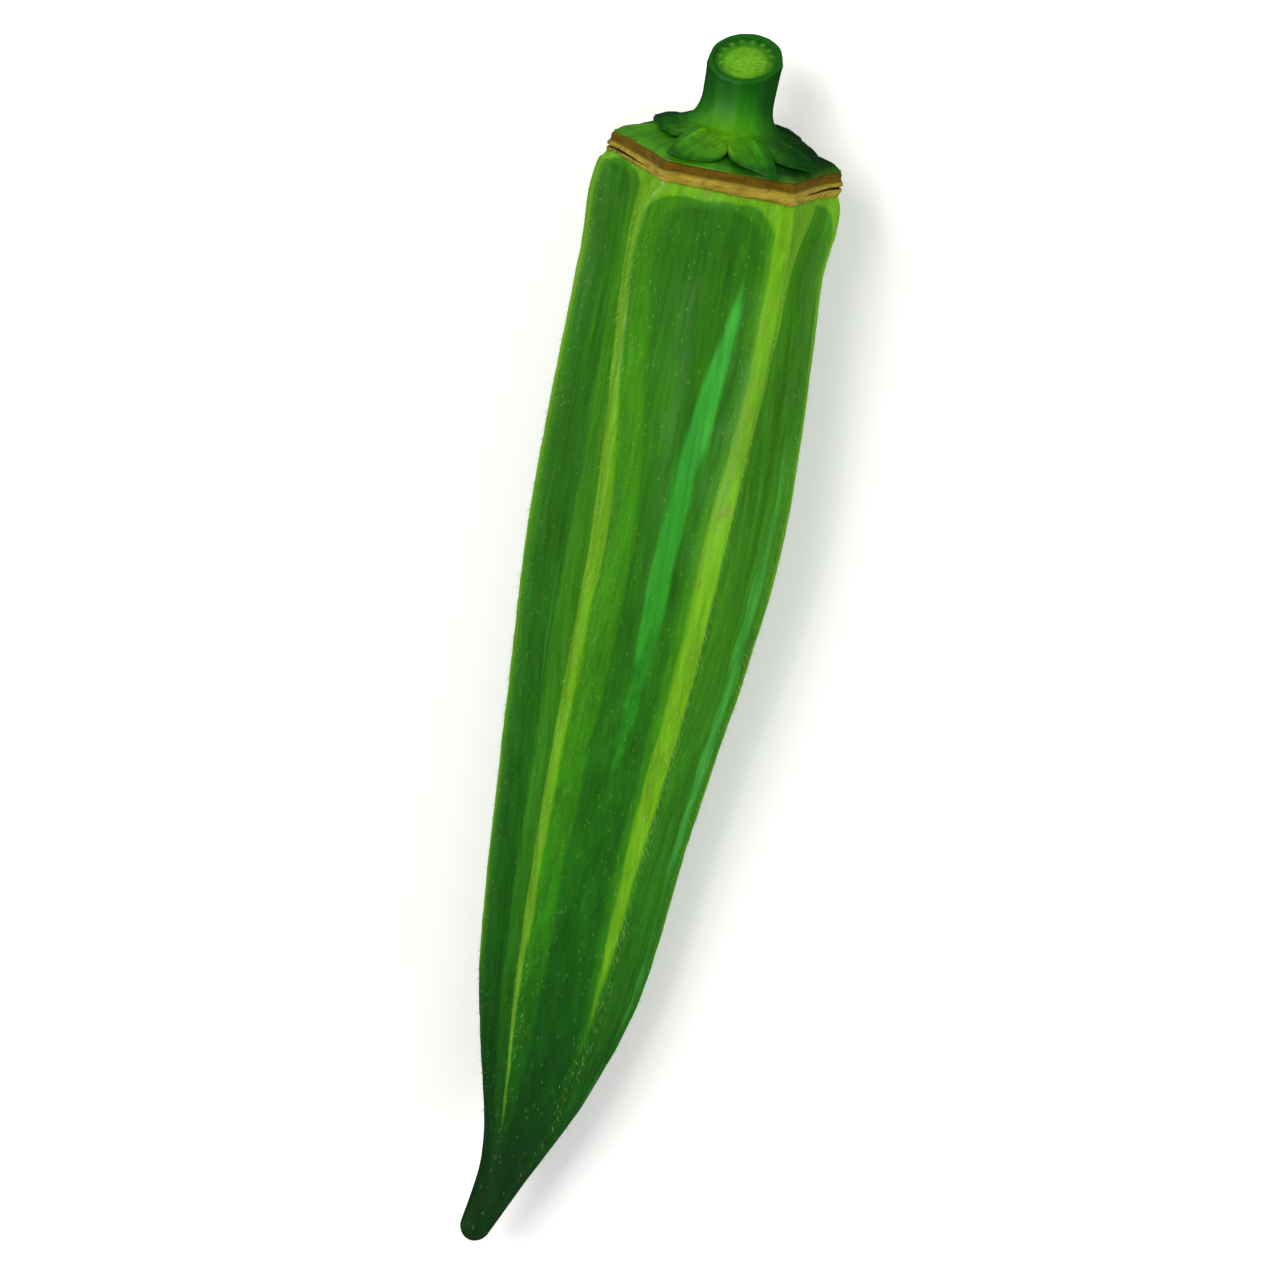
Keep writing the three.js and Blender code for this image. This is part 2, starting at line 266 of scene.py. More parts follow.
def closed_skin(name, rings, first_end, last_end):
    """A closed mesh through rings of points, shaped (rings, points round, 3). It ends in two points on
    the middle line, at those lengths below the shoulder."""
    count, around = rings.shape[:2]
    ends = [shoulder + middle(first_end), shoulder + middle(last_end)]
    points = np.concatenate([rings.reshape(-1, 3), ends]) * MM
    here = np.arange(around)
    there = (here + 1) % around
    start = np.arange(count - 1)[:, None] * around
    corners = [start + here, start + around + here, start + around + there, start + there]
    quads = np.stack(corners, -1).reshape(-1, 4)
    steps = list(zip(here.tolist(), there.tolist()))
    last = (count - 1) * around
    first_cap = [(count * around, i, j) for i, j in steps]
    last_cap = [(count * around + 1, last + j, last + i) for i, j in steps]
    mesh = bpy.data.meshes.new(name)
    mesh.from_pydata(points.tolist(), [], quads.tolist() + first_cap + last_cap)
    mesh.polygons.foreach_set("use_smooth", [True] * len(mesh.polygons))
    piece = bpy.data.objects.new(name, mesh)
    bpy.context.scene.collection.objects.link(piece)
    return piece


def write_values(piece, name, values):
    """Keeps one number for each point of the mesh, which the material reads by its name."""
    attribute = piece.data.attributes.new(name, "FLOAT", "POINT")
    at_ends = [values[0].mean(), values[-1].mean()]
    attribute.data.foreach_set("value", np.append(values.ravel(), at_ends).astype(np.float32))


# The mesh is finest round the ridges, at the shoulder and at the beak.
steps_round_face = 40
ridge_crowding = 0.55
face_share = (np.arange(steps_round_face) + 0.5) / steps_round_face
crowded_share = face_share - ridge_crowding * np.sin(2 * np.pi * face_share) / (2 * np.pi)
from_first_ridge = face_turn * crowded_share
pod_angles = np.concatenate([half_face + face_turn * i + from_first_ridge for i in range(ridge_count)])
pod_lengths = np.concatenate(
    [
        [-neck_height, -0.25, -0.1],
        np.linspace(0.02, 3, 16, endpoint=False),
        np.linspace(3, 94, 330, endpoint=False),
        np.linspace(94, pod_length - beak_round, 26, endpoint=False),
        pod_length - beak_round * (1 - np.sin(np.linspace(0, 0.98, 12) * np.pi / 2)),
    ]
)
below, angle = np.meshgrid(pod_lengths, pod_angles, indexing="ij")
ridge_number = np.floor((angle - half_face) / face_turn + 0.5) % ridge_count

# The skin is never quite even: the ridges sway, seeds swell the sides of the faces in rows, broad and
# small lumps and long fibres run through it all, and the keels are crinkled.
sway_turn = 0.5  # degrees
sway_length = 14
seed_swell = 0.07
seed_spacing = 5.4
seed_row = 0.55  # how far the rows of seeds are from a ridge, as a share of half a face
lump_depth = 0.10
small_lump_depth = 0.035
fibre_depth = 0.016
crinkle_depth = 0.05
crinkle_width = 0.7
sway = sway_turn * np.array([noise.noise((0, 0, s / sway_length)) for s in pod_lengths.tolist()])[:, None]
radius = pod_radius(below, angle)
skin = place_ridged(below, radius, angle + sway)
grown = smooth_step(below, 0.5, 5) * (1 - smooth_step(below, 90, 101))
near_seeds = 1 - np.abs(from_ridge(angle) - half_face * seed_row) / (half_face * (1 - seed_row))
near_seeds = np.clip(near_seeds, 0, 1) * smooth_step(below, 8, 16) * (1 - smooth_step(below, 70, 86))
seeds = np.sin(2 * np.pi * below / (seed_spacing + 0.2 * ridge_number) + 1.9 * ridge_number)
lumps = lump_depth * roughen(skin, (0.16, 0.07, 0.16), 3.1)
small_lumps = small_lump_depth * roughen(skin, (0.9, 0.22, 0.9), 7.7)
fibres = fibre_depth * roughen(skin, (3.2, 0.35, 3.2), 12.3)
ridge_line = np.stack([ridge_number * 9.0, below, 0 * below], -1)
on_ridge = np.exp(-((np.radians(from_ridge(angle)) * radius / crinkle_width) ** 2))
crinkle = crinkle_depth * roughen(ridge_line, (1, 0.75, 1), 5.5) * on_ridge
radius = radius + grown * (seed_swell * seeds * near_seeds + lumps + small_lumps + fibres + crinkle)
tuck = np.where(below < -1, neck_radius, shoulder_radius) * (1 - pod_stations["hollow"][0] * face_dip(angle))
radius = np.where(below < 0, tuck, radius)
skin = place_ridged(below, radius, angle + sway)
skin[..., 2] = np.maximum(skin[..., 2], 0)
pod = closed_skin("pod_body", skin, -neck_height, pod_length)
write_values(pod, "below", below)


def at_points(table, number):
    """The row of a table that each point of the mesh belongs to."""
    return {name: values[number] for name, values in table.items()}


# Each keel carries a pale band: where it ends, how its width and its shift off the ridge change from the
# top to lower down, and how far the darker middle of the panel before and past the ridge keeps from it.
keel_bands = columns(
    "end top_width low_width top_shift low_shift margin_before margin_past",
    [
        (78, 1.95, 0.92, 1.65, -0.65, 0.75, 20),
        (84, 0.38, 0.38, 0, 0, 20, 1.0),
        (86, 0.9, 0.9, 0, 0, 1.2, 1.2),
        (82, 1.0, 1.0, 0, 0, 1.2, 1.2),
        (86, 0.38, 0.38, 0, 0, 1.0, 0.5),
        (89, 0.8, 1.0, -1.05, -0.5, 3.4, 2.2),
    ],
)
band_shares = [0, 0.08, 0.2, 0.5, 0.78, 0.92, 1, 1.25]
band_half_widths = [1.5, 1.3, 1.05, 0.85, 0.6, 0.3, 0, -1.2]
shift_radius = 8  # the shift shrinks with the pod where its radius is less than this
margin_radius = 9.8  # the margins are for a pod of this radius
margin_lengths = [0, 9, 32]
margin_shares = [0.45, 0.6, 1]
panel_corner = 2.4
inner_corner = 3.2
inner_drop = 0.5
rim_width = 0.6 + 0.4 * np.cos(np.radians(3 * (angle + 22)))
band = at_points(keel_bands, ridge_number.astype(int))
past_ridge = (angle - half_face) % face_turn < half_face
off_ridge = np.radians(from_ridge(angle)) * along("radius", below) * np.where(past_ridge, 1, -1)
low_share = smooth_step(below, 2, 34)
shift = band["top_shift"] * (1 - low_share) + band["low_shift"] * low_share
off_band = np.abs(off_ridge - shift * np.minimum(along("radius", below) / shift_radius, 1))
narrowed = smooth_step(below, 8, 27)
half_width = np.interp(below / band["end"], band_shares, band_half_widths)
half_width = half_width * (band["top_width"] * (1 - narrowed) + band["low_width"] * narrowed)


def inside_panel(corner, margin, drop):
    """How far each point is inside a panel with round corners, margin off the bands and drop off the
    pale rim of the shoulder. It is under 0 outside the panel."""
    sideways = np.maximum(corner + margin - (off_band - half_width), 0)
    lengthways = np.maximum(corner + drop - (below - rim_width), 0)
    return corner - np.hypot(sideways, lengthways)


margin = np.where(past_ridge, band["margin_past"], band["margin_before"])
margin = margin * np.interp(below, margin_lengths, margin_shares) * along("radius", below) / margin_radius
write_values(pod, "panel", inside_panel(panel_corner, 0, 0))
write_values(pod, "inner_panel", inside_panel(inner_corner, margin, inner_drop))

# A thin blue-green streak runs down each face, near its seam, and dies out towards the beak. It is partly a
# tint along the seam and partly a painted highlight. The streak on the face at the pod's right side is
# painted lighter still, as a painted reflection along that side. Each drifts to one side between its start
# and its end, and the first one leans over at its start as well.
face_streaks = columns(
    "centre drift lean start end half_width",
    [
        (8, -6, 9, 7, 62, 1.3),
        (80.5, 0, 0, 22, 84, 0.62),
        (118, 3, 0, 30, 74, 0.8),
        (180, -4, 0, 20, 66, 1.0),
        (243, 3, 0, 26, 70, 0.8),
        (-62, 2, 0, 34, 66, 0.5),
    ],
)
painted_highlight_streak = 1
face_number = (np.floor((angle + half_face) / face_turn) % ridge_count).astype(int)
streak = at_points(face_streaks, face_number)
down_streak = (below - streak["start"]) / (streak["end"] - streak["start"])
streak_angle = streak["centre"] + streak["drift"] * down_streak
streak_angle = streak_angle + streak["lean"] * (1 - smooth_step(below, 8, 26))
off_streak = np.abs((angle - streak_angle + 180) % 360 - 180)
off_streak = np.radians(off_streak) * along("radius", below)
tapered = 1.15 * np.sin(np.pi * np.clip(down_streak, 0, 1) ** 0.72) - 0.15
write_values(pod, "streak", streak["half_width"] * tapered - off_streak)
write_values(pod, "streak_painted_highlight", (face_number == painted_highlight_streak).astype(float))


def web_colour(code):
    """A linear colour from its web code."""
    channels = [int(code[i : i + 2], 16) / 255 for i in (0, 2, 4)]
    return [*(c / 12.92 if c <= 0.04045 else ((c + 0.055) / 1.055) ** 2.4 for c in channels), 1]


class Finish:
    """A material made of nodes, with short names for the nodes that the finishes here share."""

    def __init__(self, name, shine=0.5, roughness=0.5):
        self.material = bpy.data.materials.new(name)
        self.material.use_nodes = True
        self.tree = self.material.node_tree
        self.shader = self.tree.nodes["Principled BSDF"]
        self.shader.inputs["Specular IOR Level"].default_value = shine
        self.shader.inputs["Roughness"].default_value = roughness
        self.position = self.node("ShaderNodeTexCoord").outputs["Object"]

    def node(self, kind, inputs=None, **settings):
        node = self.tree.nodes.new(kind)
        for key, value in settings.items():
            setattr(node, key, value)
        for key, value in (inputs or {}).items():
            self.feed(node.inputs[key], value)
        return node

    def feed(self, socket, value):
        """Links a socket, or sets it to a number or to the colour of a web code."""
        if isinstance(value, bpy.types.NodeSocket):
            self.tree.links.new(value, socket)
        elif isinstance(value, str):
            socket.default_value = web_colour(value)
        else:
            socket.default_value = value

    def value(self, name):
        """A number that write_values kept with the mesh."""
        return self.node("ShaderNodeAttribute", attribute_name=name).outputs["Fac"]

    def math(self, operation, *numbers):
        return self.node("ShaderNodeMath", dict(enumerate(numbers)), operation=operation).outputs[0]

    def between(self, value, start, end, low=0.0, high=1.0):
        """Runs smoothly from low to high as the value goes from start to end."""
        inputs = {"Value": value, "From Min": start, "From Max": end, "To Min": low, "To Max": high}
        return self.node("ShaderNodeMapRange", inputs, interpolation_type="SMOOTHSTEP").outputs[0]

    def stretched(self, scale):
        return self.node("ShaderNodeMapping", {"Vector": self.position, "Scale": scale}).outputs[0]

    def noise(self, scale, detail, roughness=0.55):
        """Noise with that many cells in a metre, along x, y and z."""
        inputs = {"Vector": self.stretched(scale), "Scale": 1.0, "Detail": detail, "Roughness": roughness}
        return self.node("ShaderNodeTexNoise", inputs).outputs["Fac"]

    def mix(self, share, first, second, blend_type="MIX"):
        node = self.node("ShaderNodeMix", data_type="RGBA", blend_type=blend_type)
        self.feed(node.inputs[0], share)
        self.feed(node.inputs[6], first)
        self.feed(node.inputs[7], second)
        return node.outputs[2]

    def ramp(self, value, stops):
        node = self.node("ShaderNodeValToRGB", {"Fac": value})
        marks = node.color_ramp.elements
        for i, (position, code) in enumerate(stops):
            mark = marks[i] if i < len(marks) else marks.new(position)
            mark.position = position
            mark.color = web_colour(code)
        return node.outputs["Color"]

    def mottle(self, share, colour, value, dark, light, stops=(0.3, 0.7)):
        """Darkens and lightens a colour as the value goes between two stops, with a grey for each."""
        greys = self.ramp(value, zip(stops, (dark, light)))
        return self.mix(share, colour, greys, "OVERLAY")

    def bump(self, height, strength, depth):
        """Adds relief of that depth in metres to what the shader already has."""
        before = self.shader.inputs["Normal"].links
        node = self.node("ShaderNodeBump", {"Height": height, "Strength": strength, "Distance": depth})
        if before:
            self.feed(node.inputs["Normal"], before[0].from_socket)
        self.feed(self.shader.inputs["Normal"], node.outputs["Normal"])


pod_skin = Finish("pod_skin_green", shine=0.24)
length_share = pod_skin.math("DIVIDE", pod_skin.value("below"), pod_length)
stripes = pod_skin.noise((900, 60, 900), detail=5)
blotches = pod_skin.noise((160, 60, 160), detail=3)
edge_wander = pod_skin.math("MULTIPLY", pod_skin.math("SUBTRACT", stripes, 0.5), 0.9)
panel = pod_skin.math("ADD", pod_skin.value("panel"), edge_wander)
# The middle of each face is painted a darker green than the band beside its ridges: partly the face's own
# colour and partly painted shade of the hollow.
inner_green = pod_skin.ramp(
    length_share,
    [(0, "2f7600"), (0.3, "2a7500"), (0.5, "227000"), (0.65, "186600"), (0.8, "095200"), (0.92, "013a00")],
)
outer_green = pod_skin.ramp(
    length_share,
    [(0, "3e8a00"), (0.4, "3c8e00"), (0.65, "2e8400"), (0.84, "125f00"), (0.94, "013c00")],
)
keel_lime = pod_skin.ramp(
    length_share,
    [(0, "6cb004"), (0.45, "70b404"), (0.8, "70b404"), (0.9, "5ca000"), (0.97, "0e5c00")],
)
inner_panel = pod_skin.math("MULTIPLY_ADD", edge_wander, 2.2, pod_skin.value("inner_panel"))
colour = pod_skin.mix(pod_skin.between(inner_panel, -0.35, 0.35, 1, 0), inner_green, outer_green)
in_streak = pod_skin.math("MULTIPLY_ADD", edge_wander, 1.8, pod_skin.value("streak"))
streak_share = pod_skin.between(in_streak, -0.3, 0.5, 0, 0.85)
streak_blue = pod_skin.ramp(
    length_share, [(0.2, "3cb236"), (0.42, "2c981c"), (0.6, "1e7c0a"), (0.8, "14660a")]
)
# The streak on the right-hand face is lightened: a painted reflection along the pod's side.
streak_painted_highlight = pod_skin.math("MULTIPLY", pod_skin.value("streak_painted_highlight"), 0.6)
streak_blue = pod_skin.mix(streak_painted_highlight, streak_blue, "52c848")
colour = pod_skin.mix(streak_share, colour, streak_blue)
# The pale lime of the keels is partly their own colour and partly a painted highlight; some bands are widened
# and shifted off the ridge line.
colour = pod_skin.mix(pod_skin.between(panel, -0.15, 0.22, 1, 0), colour, keel_lime)
scuffs = pod_skin.between(pod_skin.noise((800, 330, 800), detail=3), 0.64, 0.7)
scuffs = pod_skin.math("MULTIPLY", scuffs, pod_skin.between(panel, -0.4, 0.3, 0.5, 0.06))
colour = pod_skin.mix(scuffs, colour, "8b8a2c")
colour = pod_skin.mottle(0.35, colour, blotches, "626262", "a8a8a8")
colour = pod_skin.mottle(0.45, colour, stripes, "545454", "b8b8b8")
threads = pod_skin.noise((3000, 140, 3000), detail=3)
colour = pod_skin.mottle(0.35, colour, threads, "505050", "b8b8b8")
pores = pod_skin.node("ShaderNodeTexVoronoi", {"Vector": pod_skin.stretched((1500, 900, 1500)), "Scale": 1.0})
pore = pod_skin.between(pores.outputs["Distance"], 0.08, 0.2, 1, 0)
colour = pod_skin.mix(pod_skin.math("MULTIPLY", pore, 0.2), colour, "5f9e1a")
pod_skin.feed(pod_skin.shader.inputs["Base Color"], colour)
pod_skin.feed(pod_skin.shader.inputs["Roughness"], pod_skin.between(stripes, 0.3, 0.7, 0.3, 0.46))
pod_skin.bump(stripes, strength=0.6, depth=0.00008)
pod_skin.bump(threads, strength=0.5, depth=0.00003)
pod_skin.bump(pod_skin.noise((1700, 650, 1700), detail=3), strength=0.5, depth=0.00007)
pod_skin.bump(pore, strength=0.6, depth=0.00004)
pod.data.materials.append(pod_skin.material)
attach(pod, "root")
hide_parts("pod")

# The scar ring is the band of dry cork that healed over where the flower's parts dropped off: a tan
# lower edge on the shoulder and a darker, set-back upper edge, both ragged and finely split.
ring_height = 1.8
ring_radius = 10.5
ring_dip = pod_stations["hollow"][0]
ring_steps = 480
split_height = 0.45
split_depth = 0.4
ring_outline = [  # above the shoulder, and out from the ring's radius, from its top down
    (1.6, -2.2),
    (1.84, -1.1),
    (1.85, -0.6),
    (1.8, -0.36),
    (1.68, -0.24),
    (1.5, -0.2),
    (1.3, -0.2),
    (1.12, -0.2),
    (1.0, -0.1),
    (0.85, 0.02),
    (0.7, 0.05),
    (0.58, 0.06),
    (0.51, 0.06),
    (0.45, 0.06),
    (0.39, 0.06),
    (0.32, 0.06),
    (0.2, 0.04),
    (0.05, -0.02),
    (-0.05, -0.25),
    (-0.12, -0.9),
]


def hexagon(radius, angle):
    return radius * (1 - ring_dip * face_dip(angle))


# The lower edge is split open on both sides of the pod. Hidden parts of the ring are left smooth.
ring_angles = np.arange(ring_steps) * 360 / ring_steps
sidewards = np.abs((ring_angles + 180) % 360 - 180)
split_share = smooth_step(sidewards, 36, 88) * (1 - smooth_step(sidewards, 96, 118))
split_half_height = 0.03 + 0.07 * split_share
ring_points = []
ring_rises = []
ring_splits = []
for above, out in ring_outline:
    spot = place_ridged(np.full(ring_steps, -above), hexagon(ring_radius, ring_angles) + out, ring_angles)
    coarse = roughen(spot, (0.5, 0.9, 0.5), 21.5)
    fine = roughen(spot, (2.6, 1.1, 2.6), 4.2)
    loose = 1.0 if out > -0.6 else 0.0
    edge = 1.0 if above > 1.6 or above < 0.1 else 0.25
    split = np.exp(-(((above - split_height) / split_half_height) ** 2)) * smooth_step(split_share, 0, 0.15)
    height = above + loose * edge * (0.1 * coarse + 0.05 * fine)
    ragged = loose * (0.07 * coarse + 0.08 * fine)
    reach = hexagon(ring_radius, ring_angles) + out + ragged - split_depth * split
    ring_points.append(place_ridged(-height, reach, ring_angles))
    ring_rises.append(np.full(ring_steps, above))
    ring_splits.append(split)
ring = closed_skin("scar_ring_cork", np.array(ring_points), -1.7, -0.4)
write_values(ring, "rise", np.array(ring_rises))
write_values(ring, "split", np.array(ring_splits))

cork = Finish("scar_cork_brown", shine=0.12, roughness=0.85)
grain = cork.noise((500, 1600, 500), detail=6, roughness=0.65)
cracks = cork.noise((2600, 300, 2600), detail=4)
step_wander = cork.math("MULTIPLY", cork.math("SUBTRACT", grain, 0.5), 0.7)
step_edge = cork.math("ADD", cork.value("rise"), step_wander)
colour = cork.mix(cork.between(step_edge, 0.85, 1.1), "94802a", "5a4502")
colour = cork.mottle(0.7, colour, grain, "4a4a4a", "c4c4c4")
colour = cork.mix(cork.between(cracks, 0.34, 0.42, 0.6, 0), colour, "2c1f02")
# The splits are painted near black: painted shade in the gaps between the ring and the shoulder.
colour = cork.mix(cork.between(cork.value("split"), 0.15, 0.6), colour, "0d0a02")
cork.feed(cork.shader.inputs["Base Color"], colour)
cork.bump(grain, strength=0.9, depth=0.00015)
cork.bump(cracks, strength=0.8, depth=0.0001)
ring.data.materials.append(cork.material)
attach(ring, "root")
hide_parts("scar_ring")

# The crown is the swollen end of the stem that closes the pod above the scar: smooth green flesh, low
# and domed, with shallow flutes that run out to the corners of the ring.
crown_radius = 10.1
crown_height = 1.5
crown_edge = 0.15
crown_flute = 0.12
edge_roll = 0.22
fit_gap = 0.2
crown_skirt = [(1.9, 0.06), (1.4, -0.3)]  # above the shoulder, and out from the crown's radius


def crown_top(radius, angle):
    """How far the crown's surface is above the shoulder."""
    share = radius / hexagon(crown_radius, angle)
    flute = crown_flute * np.cos(np.radians(ridge_count * (angle - half_face)))
    rise = crown_height * (1 - share**2) + flute * np.sin(np.pi * share)
    return ring_height + fit_gap + crown_edge + rise


crown_shares = np.concatenate([np.linspace(0.02, 0.9, 44), np.linspace(0.915, 0.995, 8)])
crown_angles = ring_angles[::2]
share, angle = np.meshgrid(crown_shares, crown_angles, indexing="ij")
radius = share * hexagon(crown_radius, angle)
top = place_ridged(-crown_top(radius, angle), radius, angle)
turn = np.radians(angle)
grain = roughen(np.stack([9 * np.cos(turn), 9 * np.sin(turn), 0.3 * radius], -1), (1, 1, 1), 2.2)
relief = 0.05 * roughen(top, (0.5, 0.5, 0.5), 9.4) + 0.035 * grain * smooth_step(share, 0.3, 0.6)
relief = relief - edge_roll * smooth_step(share, 0.93, 1.0)
top = place_ridged(-(crown_top(radius, angle) + relief), radius, angle)
outer = hexagon(crown_radius, crown_angles)
skirt = [place_ridged(np.full(len(outer), -above), outer + out, crown_angles) for above, out in crown_skirt]
crown_points = np.concatenate([top, skirt])
crown = closed_skin("crown_flesh", crown_points, -crown_top(0.0, 0.0), -1.2)
write_values(crown, "reach", np.concatenate([share, np.ones((2, len(outer)))]))
write_values(crown, "across", crown_points[..., 0] - shoulder[0])
write_values(crown, "grain", np.concatenate([grain, grain[-1:], grain[-1:]]))

crown_skin = Finish("crown_skin_green", shine=0.25, roughness=0.45)
clouds = crown_skin.noise((420, 420, 420), detail=4)
# The crown is painted lighter on its left and darker on its right: painted shade, as if lit from the left.
crown_painted_shade = crown_skin.between(crown_skin.value("across"), -9.0, 8.0)
colour = crown_skin.ramp(
    crown_painted_shade,
    [(0, "3e8600"), (0.3, "2f7a00"), (0.55, "1a6200"), (0.8, "074a00"), (1, "043e00")],
)
crown_rim = crown_skin.between(crown_skin.value("reach"), 0.93, 1.0, 0, 0.35)
colour = crown_skin.mix(crown_rim, colour, "4c9004")
colour = crown_skin.mottle(0.35, colour, clouds, "5c5c5c", "b0b0b0")
rays = crown_skin.between(crown_skin.value("grain"), -0.5, 0.5)
colour = crown_skin.mottle(0.5, colour, rays, "5c5c5c", "a8a8a8", stops=(0.2, 0.8))
crown_skin.feed(crown_skin.shader.inputs["Base Color"], colour)
crown_skin.bump(clouds, strength=0.5, depth=0.00008)
crown.data.materials.append(crown_skin.material)
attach(crown, "root")
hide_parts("crown")

# The stem is a short stalk of tough fibrous green, cut on the slant, whose foot spreads into six pointed
# sepals that lie on the crown. Stem and sepals are one growth, with a vein down each sepal.
stem_waist = 3.1
stem_top = 3.25
stem_height = 6.75  # from the crown's top to the middle of the cut
cut_across = 0.15  # the slope of the cut across the pod
cut_up = -0.47  # and upwards from the table
cut_dish = 0.18
cut_rim = [(0.42, 0.05), (0.3, -0.02), (0.16, 0.01), (0.05, 0.12)]  # in from the edge, and down
bundle_count = 15
bundle_reach = 0.8
flare_reach = 1.3
flare_height = 2.8
sepal_thick = 0.75
sepal_edge_thick = 0.62
sepal_curl = 0.1
sepal_droop = 0.24
vein_height = 0.16
vein_width = 0.28
trough_depth = 0.14
trough_width = 1.1
margin_wave = 0.096
margin_drops = (0.4, 0.56)
edge_ripple = 0.08
edge_lift = 0.12
wrinkle_depth = 0.03
steps_up_sepal = 26
sepals = [  # angle and reach of the tip and of the notch before it, and how the edges bend in between
    {"tip": -115, "reach": 7.2, "notch": -144, "notch_at": 4.75, "before": 0.9, "after": 1.1},
    {"tip": -34, "reach": 10.4, "notch": -50, "notch_at": 6.2, "before": 2.2, "after": 0.5},
    {"tip": 23, "reach": 10.5, "notch": -4, "notch_at": 6.6, "before": 0.6, "after": 1},
    {"tip": 54, "reach": 9.1, "notch": 28, "notch_at": 7.6, "before": 0.5, "after": 0.5},
    {"tip": 130, "reach": 8.6, "notch": 108, "notch_at": 4.9, "before": 0.8, "after": 0.8},
    {"tip": 186, "reach": 8.3, "notch": 157, "notch_at": 4.8, "before": 0.9, "after": 0.9},
]
sepal_angles = []
sepal_edges = []
from_vein = []
for sepal, following in zip(sepals, sepals[1:] + sepals[:1]):
    tip, reach, notch = sepal["tip"], sepal["reach"], sepal["notch"]
    next_notch = following["notch"] + (360 if following["notch"] < tip else 0)
    rising = np.linspace(0, 1, steps_up_sepal, endpoint=False)
    angles = np.append(notch + (tip - notch) * rising, tip + (next_notch - tip) * rising)
    edge_before = sepal["notch_at"] + (reach - sepal["notch_at"]) * rising ** sepal["before"]
    edge_after = following["notch_at"] + (reach - following["notch_at"]) * (1 - rising) ** sepal["after"]
    middle_of_sepal = (notch + next_notch) / 2
    sepal_angles.append(angles)
    sepal_edges.append(np.append(edge_before, edge_after))
    from_vein.append(angles - (0.6 * tip + 0.4 * middle_of_sepal))
sepal_angles = np.concatenate(sepal_angles)
sepal_edges = np.concatenate(sepal_edges)
sepal_edges = sepal_edges + edge_ripple * np.sin(np.radians(sepal_angles * 23)) * (sepal_edges > 5)
from_vein = np.radians(np.concatenate(from_vein))
stem_foot = stem_waist + flare_reach
crown_apex = crown_top(0.0, 0.0)


def cut_at(radius, angle):
    turn = np.radians(angle)
    return crown_apex + stem_height + radius * (cut_across * np.sin(turn) + cut_up * np.cos(turn))


def sepal_foot(radius, angle):
    """The crown's surface under a sepal, with the curl that lifts the sepal off it."""
    spread = pod_stations["spread"][0] * np.sin(np.radians(2 * angle))
    return crown_top(radius, angle - spread) + sepal_curl * (radius / crown_radius) ** 4


def sepal_top(radius, angle):
    outwards = (radius - stem_foot) / (crown_radius - stem_foot)
    thick = sepal_thick + (sepal_edge_thick - sepal_thick) * outwards
    return sepal_foot(radius, angle) + fit_gap + thick


stem_rings = []
stem_values = {"above": [], "reach": [], "cut": [], "bundle": []}


def add_stem_ring(radius, above, cut=0.0, bundle=0.0):
    radius, above, cut, bundle, angles = np.broadcast_arrays(radius, above, cut, bundle, sepal_angles)
    stem_rings.append(place(-above, radius, angles))
    for name, values in {"above": above, "reach": radius, "cut": cut, "bundle": bundle}.items():
        stem_values[name].append(values)


# From the middle of the cut outwards: the dished pith with a ring of fibre bundles, and the rim.
cut_inner = stem_top - 0.5
stem_ribs = 0.07 * np.cos(np.radians(sepal_angles * 9 + 20)) + 0.05 * np.cos(np.radians(sepal_angles * 5))
beads = 0.5 + 0.5 * np.cos(np.radians(bundle_count * sepal_angles + 20 * np.sin(sepal_angles / 20)))
for share in np.linspace(0.03, 1, 32):
    radius = share * cut_inner
    bundle = beads**2 * np.exp(-(((share - bundle_reach) / 0.1) ** 2))
    bulge = 0.1 * (1 - share**2) - 0.08 * np.exp(-((share / 0.18) ** 2)) + 0.05 * bundle
    add_stem_ring(radius, cut_at(radius, sepal_angles) - cut_dish + bulge, 1.0, bundle)
for inwards, drop in cut_rim:
    radius = stem_top - inwards
    add_stem_ring(radius + 0.4 * stem_ribs, cut_at(radius, sepal_angles) - drop, 0.5)

# Down the ribbed stalk, and round the flare of its foot.
stalk_top = cut_at(stem_top, sepal_angles) - 0.4
flare_top = sepal_top(stem_foot, 0.0) + flare_height
for share in np.linspace(0, 1, 34, endpoint=False):
    radius = stem_top + (stem_waist - stem_top) * np.sqrt(share) + stem_ribs
    add_stem_ring(radius, stalk_top + (flare_top - stalk_top) * share)
flare_foot = sepal_top(stem_foot, sepal_angles)
for share in np.linspace(0, 1, 24, endpoint=False):
    turn = share * np.pi / 2
    radius = stem_waist + flare_reach * (1 - np.cos(turn)) + stem_ribs * (1 - share)
    add_stem_ring(radius, flare_foot + (flare_top - flare_foot) * (1 - np.sin(turn)))

# Out along the sepals, over their wavy margins, and back under them.
wave = margin_wave * np.sin(np.radians(sepal_angles * 7 + 30)) * smooth_step(sepal_edges, 5, 8)
for share in np.linspace(0, 0.97, 34):
    radius = stem_foot + (sepal_edges - stem_foot) * share
    across = radius * from_vein
    outwards = smooth_step(radius, stem_foot, stem_foot + 1)
    vein = vein_height * np.exp(-((across / vein_width) ** 2)) * outwards
    trough = trough_depth * (1 - np.exp(-((across / trough_width) ** 2))) * outwards
    near_edge = smooth_step(share, 0.55, 1)
    add_stem_ring(radius, sepal_top(radius, sepal_angles) + vein - trough + near_edge * (wave - sepal_droop))
for drop in margin_drops:
    add_stem_ring(sepal_edges, sepal_top(sepal_edges, sepal_angles) + wave - drop)
radius = 0.97 * sepal_edges
add_stem_ring(radius, sepal_foot(radius, sepal_angles) + wave + edge_lift)
